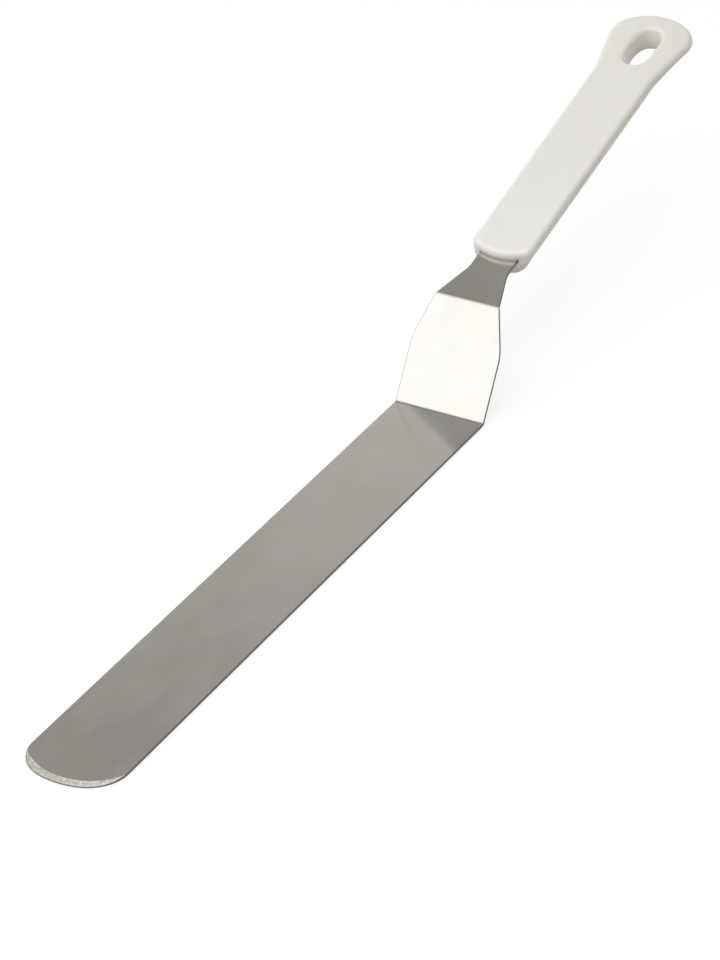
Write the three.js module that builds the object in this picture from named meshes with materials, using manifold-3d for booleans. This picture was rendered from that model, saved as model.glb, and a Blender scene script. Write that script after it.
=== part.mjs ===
// Cranked cake spatula: a stainless strip blade, bent twice, pressed into a moulded handle.
// Millimetres, +Z up. The blade lies flat on z = 0, its tip points to -X and the handle rises to +X.

import * as THREE from 'three';
import { mergeVertices } from 'three/addons/utils/BufferGeometryUtils.js';
import Module from 'manifold-3d';

const wasm = await Module();
wasm.setup();

// Blade: flat length from tip to heel bend, strip width and sheet gauge
const BLADE_LENGTH = 250;
const BLADE_WIDTH = 34;
const SHEET = 1;

// Rounded tip: the end arc, the two corner arcs, and the ground edge on its upper side
const TIP_RADIUS = 25.4;
const TIP_CORNER_RADIUS = 13.8;
const GRIND_WIDTH = 2.6;
const GRIND_EDGE = 0.45;

// Crank: the strip climbs steeply from the heel to the shoulder bend, then flattens to the handle
const CRANK_LENGTH = 39.8;
const CRANK_ANGLE = 59.2;
const HANDLE_ANGLE = 14.3;
const BEND_INNER_RADIUS = 1;

// Neck: the strip narrows from below the shoulder bend to a short parallel run in front of the handle
const TAPER_LEAD = 16;
const TAPER_LOW_RADIUS = 6;
const TAPER_HIGH_RADIUS = 12;
const NECK_LENGTH = 23.4;
const NECK_PARALLEL = 6.8;
const TANG_WIDTH = 14.6;

// Tang: the hidden end of the strip, with barbs stamped into both edges
const TANG_LENGTH = 72;
const TANG_END_RADIUS = 3;
const BARB_COUNT = 4;
const BARB_PITCH = 7;
const BARB_DEPTH = 1.3;
const BARB_INSET = 9;

// Handle: sizes in plan, along and across its own slope
const HANDLE_LENGTH = 141.6;
const HANDLE_FRONT_WIDTH = 22.6;
const HANDLE_WAIST_WIDTH = 23.6;
const FRONT_RADIUS = 19;
const FRONT_CORNER_RADIUS = 3.4;
const BUTT_WIDTH = 31.7;
const BUTT_RADIUS = 19.2;
const BUTT_CORNER_RADIUS = 11.2;
const FLANK_ANGLE = 10.4;
const WAIST_BLEND_RADIUS = 27;

// Handle section: flat top with a small edge radius, deeply rounded lower corners
const TOP_COVER = 3.3;
const HANDLE_THICKNESS = 9.7;
const EDGE_RADIUS = 1.8;
const UNDER_RADIUS = 7.8;

// Hang hole, a slot with round ends
const HOLE_LENGTH = 20.1;
const HOLE_WIDTH = 10.5;
const HOLE_END_WALL = 10.4;

// Fit between the tang and its pocket, and working margins for the cutting bodies
const TANG_CLEARANCE = 0.3;
const CUT_MARGIN = 3;
const HAIR = 0.02;

// Fineness of curved outlines, in degrees a step, and of rounded edges
const ARC_STEP = 5;
const EDGE_SEGMENTS = 4;
const UNDER_SEGMENTS = 8;
const GRIND_SEGMENTS = 96;

const crankAngle = THREE.MathUtils.degToRad(CRANK_ANGLE);
const handleAngle = THREE.MathUtils.degToRad(HANDLE_ANGLE);
const flankAngle = THREE.MathUtils.degToRad(FLANK_ANGLE);
const arcStep = THREE.MathUtils.degToRad(ARC_STEP);

// The strip's upper line in side view, as sharp corners, tip first
const tip = new THREE.Vector2(-BLADE_LENGTH, SHEET);
const heel = new THREE.Vector2(0, SHEET);
const shoulder = pointAlong(heel, crankAngle, CRANK_LENGTH);
const tangEnd = pointAlong(shoulder, handleAngle, NECK_LENGTH + TANG_LENGTH);
const bladeTip = roundedEnd(tip.x, -1, BLADE_WIDTH / 2, TIP_RADIUS, TIP_CORNER_RADIUS);

const steel = new THREE.MeshStandardMaterial({ color: 0xa5a19a, roughness: 0.32, metalness: 1 });
const plastic = new THREE.MeshStandardMaterial({ color: 0xe6e5e0, roughness: 0.35, metalness: 0 });

function pointAlong(from, angle, distance) {
  return new THREE.Vector2(Math.cos(angle), Math.sin(angle)).multiplyScalar(distance).add(from);
}

// Adds an arc to a path in steps of about equal angle, turning the way that the angle runs.
function addArc(path, centreX, centreY, radius, from, to) {
  const steps = Math.max(1, Math.round(Math.abs(to - from) / arcStep));
  for (let step = 0; step <= steps; step += 1) {
    const angle = from + (to - from) * step / steps;
    path.lineTo(centreX + radius * Math.cos(angle), centreY + radius * Math.sin(angle));
  }
}

// Adds straight runs to a path; each corner is [x, y, radius] and a radius rounds it with an arc,
// which takes up no more than half of the run on either side.
function addRun(path, corners) {
  corners.forEach(([x, y, radius = 0], index) => {
    if (radius === 0) {
      path.lineTo(x, y);
      return;
    }
    const corner = new THREE.Vector2(x, y);
    const back = new THREE.Vector2(...corners[index - 1]).sub(corner);
    const onward = new THREE.Vector2(...corners[index + 1]).sub(corner);
    const room = Math.min(back.length(), onward.length()) / 2;
    back.normalize();
    onward.normalize();
    const halfAngle = Math.acos(back.dot(onward)) / 2;
    const reach = Math.min(radius / Math.tan(halfAngle), room);
    const bend = reach * Math.tan(halfAngle);
    const middle = back.clone().add(onward).normalize();
    const centre = middle.multiplyScalar(bend / Math.sin(halfAngle)).add(corner);
    const from = back.clone().multiplyScalar(reach).add(corner).sub(centre).angle();
    const turn = Math.sign(onward.cross(back)) * (Math.PI - 2 * halfAngle);
    addArc(path, centre.x, centre.y, bend, from, from + turn);
  });
}

// A rounded end: one arc across the strip, met by a smaller arc at each corner.
// The facing is -1 for an end towards -X and 1 for one towards +X. The half width limits both radii.
function roundedEnd(apex, facing, half, wantedEnd, wantedCorner) {
  const endRadius = Math.max(wantedEnd, half);
  const cornerRadius = Math.min(wantedCorner, half);
  const cornerY = half - cornerRadius;
  const reach = Math.sqrt((endRadius - cornerRadius) ** 2 - cornerY ** 2);
  const centreX = apex - facing * endRadius;
  const spread = Math.atan2(cornerY, reach);
  return { centreX, cornerX: centreX + facing * reach, cornerY, spread, endRadius, cornerRadius, facing };
}

// Adds a rounded end to an outline drawn anticlockwise; the flank is the angle at which its sides flare.
function addRoundedEnd(path, end, flank = 0) {
  const middle = end.facing > 0 ? 0 : Math.PI;
  const turn = Math.PI / 2 + flank;
  const firstY = -end.facing * end.cornerY;
  const first = middle - end.spread;
  const last = middle + end.spread;
  addArc(path, end.cornerX, firstY, end.cornerRadius, middle - turn, first);
  addArc(path, end.centreX, 0, end.endRadius, first, last);
  addArc(path, end.cornerX, -firstY, end.cornerRadius, last, middle + turn);
}

// Mirrors a run of corners across the X axis, in the opposite order.
function mirrored(corners) {
  return corners.map(([x, y, radius]) => [x, -y, radius]).reverse();
}

function toSolid(geometry) {
  geometry.deleteAttribute('normal');
  geometry.deleteAttribute('uv');
  const welded = mergeVertices(geometry);
  return new wasm.Manifold(new wasm.Mesh({
    numProp: 3,
    vertProperties: Float32Array.from(welded.attributes.position.array),
    triVerts: Uint32Array.from(welded.index.array),
  }));
}

function toMesh(name, solid, material) {
  const { vertProperties, triVerts } = solid.getMesh();
  const geometry = new THREE.BufferGeometry();
  geometry.setAttribute('position', new THREE.BufferAttribute(vertProperties, 3));
  geometry.setIndex(new THREE.BufferAttribute(triVerts, 1));
  geometry.computeVertexNormals();
  const mesh = new THREE.Mesh(geometry, material);
  mesh.name = name;
  return mesh;
}

// Side view of the bent strip: both faces with concentric bend arcs, swept across the width.
function bentStrip() {
  const lowerHeel = offsetCorner(heel, 0, crankAngle);
  const lowerShoulder = offsetCorner(shoulder, crankAngle, handleAngle);
  const lowerEnd = pointAlong(tangEnd, handleAngle - Math.PI / 2, SHEET);
  const outerRadius = BEND_INNER_RADIUS + SHEET;
  const profile = new THREE.Shape();
  profile.moveTo(tip.x, 0);
  addRun(profile, [
    [tip.x, 0],
    [lowerHeel.x, lowerHeel.y, outerRadius],
    [lowerShoulder.x, lowerShoulder.y, BEND_INNER_RADIUS],
    [lowerEnd.x, lowerEnd.y],
    [tangEnd.x, tangEnd.y],
    [shoulder.x, shoulder.y, outerRadius],
    [heel.x, heel.y, BEND_INNER_RADIUS],
    [tip.x, tip.y],
  ]);
  const width = BLADE_WIDTH + 2 * CUT_MARGIN;
  const geometry = new THREE.ExtrudeGeometry(profile, {
    depth: width,
    bevelEnabled: false,
  });
  geometry.rotateX(Math.PI / 2);
  geometry.translate(0, width / 2, 0);
  return toSolid(geometry);
}

// The corner of the strip's lower line under a corner of its upper line.
function offsetCorner(corner, angleBefore, angleAfter) {
  const bisector = (angleBefore + angleAfter) / 2;
  const reach = SHEET / Math.cos((angleAfter - angleBefore) / 2);
  return pointAlong(corner, bisector - Math.PI / 2, reach);
}

// Plan x of a point on the strip, by its distance from the heel along the bent strip.
function planX(distance) {
  if (distance < CRANK_LENGTH) {
    return heel.x + distance * Math.cos(crankAngle);
  }
  return shoulder.x + (distance - CRANK_LENGTH) * Math.cos(handleAngle);
}

// The strip's right edge in plan, from the tip's corner to the tang's end: taper, neck and barbs.
function stripRightEdge() {
  const half = BLADE_WIDTH / 2;
  const tangHalf = TANG_WIDTH / 2;
  const taperLength = TAPER_LEAD + NECK_LENGTH - NECK_PARALLEL;
  const shoulderHalf = half - (half - tangHalf) * TAPER_LEAD / taperLength;
  const corners = [
    [bladeTip.cornerX, half],
    [planX(CRANK_LENGTH - TAPER_LEAD), half, TAPER_LOW_RADIUS],
    [shoulder.x, shoulderHalf],
    [planX(CRANK_LENGTH - TAPER_LEAD + taperLength), tangHalf, TAPER_HIGH_RADIUS],
  ];
  for (let barb = 0; barb < BARB_COUNT; barb += 1) {
    const root = CRANK_LENGTH + NECK_LENGTH + BARB_INSET + barb * BARB_PITCH;
    const face = root + BARB_PITCH / 2;
    corners.push([planX(root), tangHalf]);
    corners.push([planX(face), tangHalf - BARB_DEPTH]);
    corners.push([planX(face), tangHalf]);
  }
  corners.push([tangEnd.x, tangHalf, TANG_END_RADIUS]);
  corners.push([tangEnd.x, 0]);
  return corners.map(([x, y, radius]) => [x, -y, radius]);
}

function stripOutline() {
  const rightEdge = stripRightEdge();
  const outline = new THREE.Shape();
  outline.moveTo(...rightEdge[0]);
  addRun(outline, rightEdge);
  addRun(outline, mirrored(rightEdge));
  addRoundedEnd(outline, bladeTip);
  return outline;
}

// Waste above the ground edge of the tip: what lies outside a cone centred on the end arc.
function grindWaste() {
  const slope = (SHEET - GRIND_EDGE) / GRIND_WIDTH;
  const innerRadius = TIP_RADIUS - GRIND_WIDTH;
  const baseRadius = innerRadius + (SHEET + CUT_MARGIN) / slope;
  const cone = new THREE.LatheGeometry([
    new THREE.Vector2(0, -CUT_MARGIN),
    new THREE.Vector2(baseRadius, -CUT_MARGIN),
    new THREE.Vector2(innerRadius, SHEET),
    new THREE.Vector2(innerRadius, SHEET + 2 * CUT_MARGIN),
    new THREE.Vector2(0, SHEET + 2 * CUT_MARGIN),
  ], GRIND_SEGMENTS);
  cone.rotateX(Math.PI / 2);
  cone.translate(bladeTip.centreX, 0, 0);
  const length = TIP_RADIUS + CUT_MARGIN;
  const block = new THREE.BoxGeometry(length, BLADE_WIDTH + CUT_MARGIN, SHEET + CUT_MARGIN);
  block.translate(tip.x - CUT_MARGIN + length / 2, 0, (SHEET + CUT_MARGIN) / 2);
  return toSolid(block).subtract(toSolid(cone));
}

function bladeSolid() {
  const height = tangEnd.y + 2 * CUT_MARGIN;
  const plan = new THREE.ExtrudeGeometry(stripOutline(), {
    depth: height,
    bevelEnabled: false,
  });
  plan.translate(0, 0, -CUT_MARGIN);
  return bentStrip().intersect(toSolid(plan)).subtract(grindWaste());
}

// Sides and butt of the handle in plan, in its own frame: x runs from the shoulder bend up the slope.
function handleSides(startX) {
  const frontHalf = HANDLE_FRONT_WIDTH / 2;
  const waistHalf = HANDLE_WAIST_WIDTH / 2;
  const buttX = NECK_LENGTH + HANDLE_LENGTH;
  const butt = roundedEnd(buttX, 1, BUTT_WIDTH / 2, BUTT_RADIUS, BUTT_CORNER_RADIUS);
  const flankX = butt.cornerX - butt.cornerRadius * Math.sin(flankAngle);
  const flankY = butt.cornerY + butt.cornerRadius * Math.cos(flankAngle);
  const waistX = flankX - (flankY - waistHalf) / Math.tan(flankAngle);
  const rightSide = [
    [startX, -frontHalf],
    [waistX, -waistHalf, WAIST_BLEND_RADIUS],
    [flankX, -flankY],
  ];
  const outline = new THREE.Shape();
  outline.moveTo(...rightSide[0]);
  addRun(outline, rightSide);
  addRoundedEnd(outline, butt, flankAngle);
  addRun(outline, mirrored(rightSide));
  return outline;
}

function handleOutline() {
  const front = roundedEnd(NECK_LENGTH, -1, HANDLE_FRONT_WIDTH / 2, FRONT_RADIUS, FRONT_CORNER_RADIUS);
  const outline = handleSides(front.cornerX);
  addRoundedEnd(outline, front);
  outline.holes.push(hangHole());
  return outline;
}

function hangHole() {
  const radius = HOLE_WIDTH / 2;
  const far = NECK_LENGTH + HANDLE_LENGTH - HOLE_END_WALL - radius;
  const near = far - (HOLE_LENGTH - HOLE_WIDTH);
  const hole = new THREE.Path();
  hole.moveTo(far, radius);
  addArc(hole, far, 0, radius, Math.PI / 2, -Math.PI / 2);
  addArc(hole, near, 0, radius, -Math.PI / 2, -1.5 * Math.PI);
  return hole;
}

// The handle in plan with its edge radius all round, trimmed below by the deeply rounded underside.
function handleSolid() {
  const bottom = TOP_COVER - HANDLE_THICKNESS;
  const underRadius = Math.min(UNDER_RADIUS, BUTT_CORNER_RADIUS - EDGE_RADIUS / 2);
  const slab = new THREE.ExtrudeGeometry(handleOutline(), {
    depth: HANDLE_THICKNESS - 2 * EDGE_RADIUS,
    bevelThickness: EDGE_RADIUS,
    bevelSize: EDGE_RADIUS,
    bevelOffset: -EDGE_RADIUS,
    bevelSegments: EDGE_SEGMENTS,
  });
  slab.translate(0, 0, bottom + EDGE_RADIUS);

  const underside = new THREE.ExtrudeGeometry(handleSides(NECK_LENGTH - 2 * underRadius), {
    depth: HANDLE_THICKNESS,
    bevelThickness: underRadius,
    bevelSize: underRadius,
    bevelOffset: HAIR - underRadius,
    bevelSegments: UNDER_SEGMENTS,
  });
  underside.translate(0, 0, bottom + underRadius - HAIR);
  return toSolid(slab).intersect(toSolid(underside)).subtract(tangPocket());
}

// Pocket from the handle's front face to just past the tang's end, with clearance all round.
function tangPocket() {
  const length = TANG_LENGTH + TANG_CLEARANCE + CUT_MARGIN;
  const pocket = new THREE.BoxGeometry(
    length,
    TANG_WIDTH + 2 * TANG_CLEARANCE,
    SHEET + 2 * TANG_CLEARANCE,
  );
  pocket.translate(NECK_LENGTH - CUT_MARGIN + length / 2, 0, -SHEET / 2);
  return toSolid(pocket);
}

const spatula = new THREE.Group();
spatula.add(toMesh('blade', bladeSolid(), steel));

const handleSeat = new THREE.Group();
handleSeat.position.set(shoulder.x, 0, shoulder.y);
handleSeat.rotation.y = -handleAngle;
handleSeat.add(toMesh('handle', handleSolid(), plastic));
spatula.add(handleSeat);

// The origin is under the middle of the whole tool.
spatula.position.x = -new THREE.Box3().setFromObject(spatula, true).getCenter(new THREE.Vector3()).x;
spatula.updateMatrixWorld(true);

export default spatula;
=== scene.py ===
"""Dresses a cake spatula: a satin steel blade, bent twice, held in a moulded white handle."""

import logging
import math
from dataclasses import dataclass
from enum import Enum
from typing import Iterable, Sequence

import bmesh
import bpy
import numpy as np
from bmesh.types import BMFace, BMVert
from mathutils import Euler, Matrix, Vector
from mathutils.geometry import delaunay_2d_cdt


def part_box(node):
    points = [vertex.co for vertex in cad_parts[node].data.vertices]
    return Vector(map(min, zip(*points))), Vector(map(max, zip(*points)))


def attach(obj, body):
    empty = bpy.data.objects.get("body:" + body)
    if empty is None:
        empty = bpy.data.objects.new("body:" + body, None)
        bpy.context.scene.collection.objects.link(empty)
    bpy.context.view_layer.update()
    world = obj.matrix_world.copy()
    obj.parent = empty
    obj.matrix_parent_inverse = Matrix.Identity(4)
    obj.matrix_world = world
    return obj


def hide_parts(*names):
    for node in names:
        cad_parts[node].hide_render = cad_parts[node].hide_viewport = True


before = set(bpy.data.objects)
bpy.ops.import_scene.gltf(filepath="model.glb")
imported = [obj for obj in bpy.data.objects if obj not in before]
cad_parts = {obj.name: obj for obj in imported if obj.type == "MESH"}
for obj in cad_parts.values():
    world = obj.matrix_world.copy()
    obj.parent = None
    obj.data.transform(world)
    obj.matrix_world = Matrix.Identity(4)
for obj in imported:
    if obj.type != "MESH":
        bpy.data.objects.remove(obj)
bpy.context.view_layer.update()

logging.basicConfig(level=logging.INFO, format="%(name)s: %(message)s")
log = logging.getLogger("spatula")

MM = 0.001
TINY = 1e-9
MERGE_REACH = 1e-7
STEP_SLACK = 1e-6
KEEP_INSIDE = 1
NOISE_LOW, NOISE_HIGH = 0.3, 0.7
BODY = "root"
STRIP_MAP = "strip"
GROUND_MARK = "ground"
CUT_MARK = "cut"
EDGE_RUN = "edge_run"
EDGE_PART = "edge_part"

Triple = tuple[float, float, float]
Colour = Triple


class Slot(Enum):
    """The record's material slots."""

    STEEL = "steel"
    PLASTIC = "plastic"


class Facing(Enum):
    """The way that a rounded end looks along the tool."""

    TIPWARD = -1
    BUTTWARD = 1


# Outlines in plan


@dataclass(frozen=True)
class RimPoint:
    """A point of an outline, with the direction that leads out of the material there."""

    x: float
    y: float
    out_x: float
    out_y: float

    def inset(self, depth: float) -> tuple[float, float]:
        """Returns the place that lies this deep in the material."""
        return self.x - self.out_x * depth, self.y - self.out_y * depth

    def mirrored(self) -> "RimPoint":
        """Returns the same point on the other side of the centre line."""
        return RimPoint(self.x, -self.y, self.out_x, -self.out_y)


@dataclass(frozen=True)
class RoundedEnd:
    """An end of an outline: one arc across it, met by a smaller arc at each corner."""

    apex: float
    facing: Facing
    half: float
    radius: float
    corner: float

    @property
    def corner_y(self) -> float:
        """Returns how far a corner arc's centre lies from the centre line."""
        return self.half - self.corner

    @property
    def reach(self) -> float:
        """Returns the distance along the tool between the centres of the arcs."""
        return math.sqrt((self.radius - self.corner) ** 2 - self.corner_y ** 2)

    @property
    def centre_x(self) -> float:
        """Returns the centre of the arc across the end."""
        return self.apex - self.facing.value * self.radius

    @property
    def corner_x(self) -> float:
        """Returns the centre of the corner arcs along the tool."""
        return self.centre_x + self.facing.value * self.reach

    @property
    def spread(self) -> float:
        """Returns the angle from the centre line at which the arcs meet."""
        return math.atan2(self.corner_y, self.reach)

    def rim(self, step: float, flare: float = 0.0, marks: Sequence[float] = ()) -> list[RimPoint]:
        """Lists the upper half of the end, from its apex to where the side starts.

        Args:
            step: Largest angle between two points.
            flare: Angle at which the sides leave the end.
            marks: Further angles from the centre line that get a point.

        Returns:
            Points on the apex arc, then on the corner arc.
        """
        across = spaced(sorted([0.0, *marks, self.spread]), step)
        round_corner = spaced([self.spread, math.pi / 2 + flare], step)
        points = [self._on_arc(self.centre_x, 0.0, self.radius, turn) for turn in across]
        for turn in round_corner[1:]:
            points.append(self._on_arc(self.corner_x, self.corner_y, self.corner, turn))
        return points

    def _on_arc(self, centre_x: float, centre_y: float, radius: float, turn: float) -> RimPoint:
        """Finds a point on one of the arcs.

        Args:
            centre_x: The arc's centre along the tool.
            centre_y: The arc's centre across the tool.
            radius: The arc's radius.
            turn: Angle from the centre line.

        Returns:
            The point, leading out along the radius.
        """
        out_x = self.facing.value * math.cos(turn)
        out_y = math.sin(turn)
        return RimPoint(centre_x + radius * out_x, centre_y + radius * out_y, out_x, out_y)


@dataclass(frozen=True)
class EdgeCorner:
    """A corner of a long edge: its place along the tool, the half width there and its radius."""

    x: float
    half: float
    radius: float = 0.0


@dataclass(frozen=True)
class LongEdge:
    """One side of a piece in plan: straight runs between corners, each rounded by its radius."""

    corners: tuple[EdgeCorner, ...]

    def slope(self, index: int) -> float:
        """Returns the angle of the run that follows a corner."""
        here, there = self.corners[index], self.corners[index + 1]
        return math.atan2(there.half - here.half, there.x - here.x)

    def bend(self, index: int) -> tuple[float, float, float, float]:
        """Finds the arc that rounds a corner.

        Args:
            index: Place of the corner in the edge, not its first or last.

        Returns:
            First and last x of the arc, and its centre.
        """
        corner = self.corners[index]
        before, after = self.slope(index - 1), self.slope(index)
        side = math.copysign(1.0, after - before)
        reach = corner.radius * math.tan(abs(after - before) / 2)
        first_x = corner.x - reach * math.cos(before)
        first_y = corner.half - reach * math.sin(before)
        last_x = corner.x + reach * math.cos(after)
        centre_x = first_x - side * corner.radius * math.sin(before)
        centre_y = first_y + side * corner.radius * math.cos(before)
        return first_x, last_x, centre_x, centre_y

    def at(self, x: float) -> RimPoint:
        """Finds the edge's point at a distance along the tool.

        Args:
            x: Distance along the tool.

        Returns:
            The point, on a corner's arc or on a straight run.
        """
        for index in range(1, len(self.corners) - 1):
            corner = self.corners[index]
            first_x, last_x, centre_x, centre_y = self.bend(index)
            if first_x <= x <= last_x and corner.radius > 0:
                side = math.copysign(1.0, self.slope(index) - self.slope(index - 1))
                way = side * math.asin((x - centre_x) / corner.radius)
                height = centre_y - side * math.sqrt(corner.radius ** 2 - (x - centre_x) ** 2)
                return RimPoint(x, height, -math.sin(way), math.cos(way))
        index = 0
        while index < len(self.corners) - 2 and x > self.corners[index + 1].x:
            index += 1
        way = self.slope(index)
        start = self.corners[index]
        half = start.half + (x - start.x) * math.tan(way)
        return RimPoint(x, half, -math.sin(way), math.cos(way))


def spaced(stops: Sequence[float], step: float) -> list[float]:
    """Lists values that hold every stop and lie no further apart than a step.

    Args:
        stops: Values in order, all of them kept.
        step: Largest distance between two values.

    Returns:
        The stops, with even values between them.
    """
    values = [stops[0]]
    for start, end in zip(stops, stops[1:]):
        count = max(1, math.ceil(abs(end - start) / step - STEP_SLACK))
        values.extend(start + (end - start) * part / count for part in range(1, count + 1))
    return values


def closed_loop(half: Sequence[RimPoint]) -> list[RimPoint]:
    """Returns a half outline and its mirror image in one loop; points on the centre line come once."""
    lower = [point.mirrored() for point in reversed(half) if abs(point.y) > TINY]
    return [*half, *lower]


def distance_to_chain(places: np.ndarray, chain: np.ndarray) -> np.ndarray:
    """Measures how far places in plan lie from a chain of straight segments.

    Args:
        places: Rows of x and y.
        chain: Rows of x and y, joined in order.

    Returns:
        One distance for each place.
    """
    starts = chain[:-1]
    runs = chain[1:] - starts
    lengths = np.maximum((runs ** 2).sum(axis=1), TINY ** 2)
    offsets = places[:, None, :] - starts[None, :, :]
    along = np.clip((offsets * runs[None, :, :]).sum(axis=2) / lengths, 0.0, 1.0)
    nearest = starts[None, :, :] + along[:, :, None] * runs[None, :, :]
    return np.sqrt(((places[:, None, :] - nearest) ** 2).sum(axis=2)).min(axis=1)


def chain_of(points: Iterable[RimPoint]) -> np.ndarray:
    """Returns the places of an outline's points as rows of x and y."""
    return np.array([(point.x, point.y) for point in points])


def inside_chain(place: np.ndarray, chain: np.ndarray) -> bool:
    """Counts the sides of a chain that lie to one side of a place in plan.

    Args:
        place: An x and a y.
        chain: Rows of x and y, whose last repeats the first.

    Returns:
        Whether the place lies inside the chain.
    """
    first, second = chain[:-1], chain[1:]
    spans = (first[:, 1] > place[1]) != (second[:, 1] > place[1])
    starts, ends = first[spans], second[spans]
    share = (place[1] - starts[:, 1]) / (ends[:, 1] - starts[:, 1])
    crossings = starts[:, 0] + share * (ends[:, 0] - starts[:, 0])
    return bool(np.count_nonzero(crossings > place[0]) % 2)


def ease(value: np.ndarray, low: float, high: float) -> np.ndarray:
    """Returns 0 below a range and 1 above it, with a soft rise between."""
    part = np.clip((value - low) / (high - low), 0.0, 1.0)
    return part * part * (3 - 2 * part)


# Meshes built from loops


class LoopMesh:
    """A closed mesh that grows by loops of points and the bands of faces between them."""

    def __init__(self) -> None:
        """Starts an empty mesh."""
        self.mesh = bmesh.new()

    def loop(self, points: Iterable[Sequence[float]]) -> list[BMVert]:
        """Adds a loop of points and returns its vertices."""
        return [self.mesh.verts.new(point) for point in points]

    def ring(
        self, outline: Sequence[RimPoint], insets: Iterable[float], heights: Iterable[float]
    ) -> list[BMVert]:
        """Adds an outline, set into the material and raised by an amount of its own at each point.

        Args:
            outline: The points in plan.
            insets: How deep in the material each point comes to lie.
            heights: How high each point comes to lie.

        Returns:
            The loop's vertices.
        """
        places = zip(outline, insets, heights)
        return self.loop((*point.inset(inset), height) for point, inset, height in places)

    def band(self, first: Sequence[BMVert], second: Sequence[BMVert]) -> list[BMFace]:
        """Joins two closed loops of as many points.

        Args:
            first: Vertices of one loop.
            second: Vertices of the other loop, in the same order.

        Returns:
            The faces, in the order of the loops' points.
        """
        count = len(first)
        faces = []
        for here in range(count):
            onward = (here + 1) % count
            corners = (first[here], first[onward], second[onward], second[here])
            faces.append(self.mesh.faces.new(corners))
        return faces

    def bands(self, rings: Sequence[Sequence[BMVert]]) -> list[list[BMFace]]:
        """Joins each loop to the next and returns the faces band by band."""
        return [self.band(outer, inner) for outer, inner in zip(rings, rings[1:])]

    def patch(self, rim: Sequence[BMVert], hole: Sequence[BMVert], loose: Sequence[BMVert]) -> None:
        """Fills the plan between a rim and a hole with triangles.

        Args:
            rim: Vertices of the outer loop.
            hole: Vertices of the inner loop, which is convex in plan.
            loose: Single vertices between them.
        """
        vertices = [*rim, *hole, *loose]
        edges = [(here, (here + 1) % len(rim)) for here in range(len(rim))]
        start = len(rim)
        edges += [(start + here, start + (here + 1) % len(hole)) for here in range(len(hole))]
        plan = [vertex.co.to_2d() for vertex in vertices]
        _, _, faces, sources, _, _ = delaunay_2d_cdt(plan, edges, [], KEEP_INSIDE, TINY)
        inner = set(range(start, start + len(hole)))
        for face in faces:
            ends = [sources[corner][0] for corner in face]
            if not inner.issuperset(ends):
                self.mesh.faces.new([vertices[end] for end in ends])

    def finish(self, name: str) -> bpy.types.Object:
        """Closes the mesh and makes it an object.

        Args:
            name: The piece's name.

        Returns:
            A smooth-shaded object at the origin.
        """
        bmesh.ops.remove_doubles(self.mesh, verts=self.mesh.verts, dist=MERGE_REACH)
        bmesh.ops.dissolve_degenerate(self.mesh, dist=MERGE_REACH, edges=self.mesh.edges)
        bmesh.ops.recalc_face_normals(self.mesh, faces=self.mesh.faces)
        for face in self.mesh.faces:
            face.smooth = True
        data = bpy.data.meshes.new(name)
        self.mesh.to_mesh(data)
        self.mesh.free()
        piece = bpy.data.objects.new(name, data)
        bpy.context.scene.collection.objects.link(piece)
        return piece


# Node trees

Socket = bpy.types.NodeSocket
Feed = Socket | float


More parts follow.
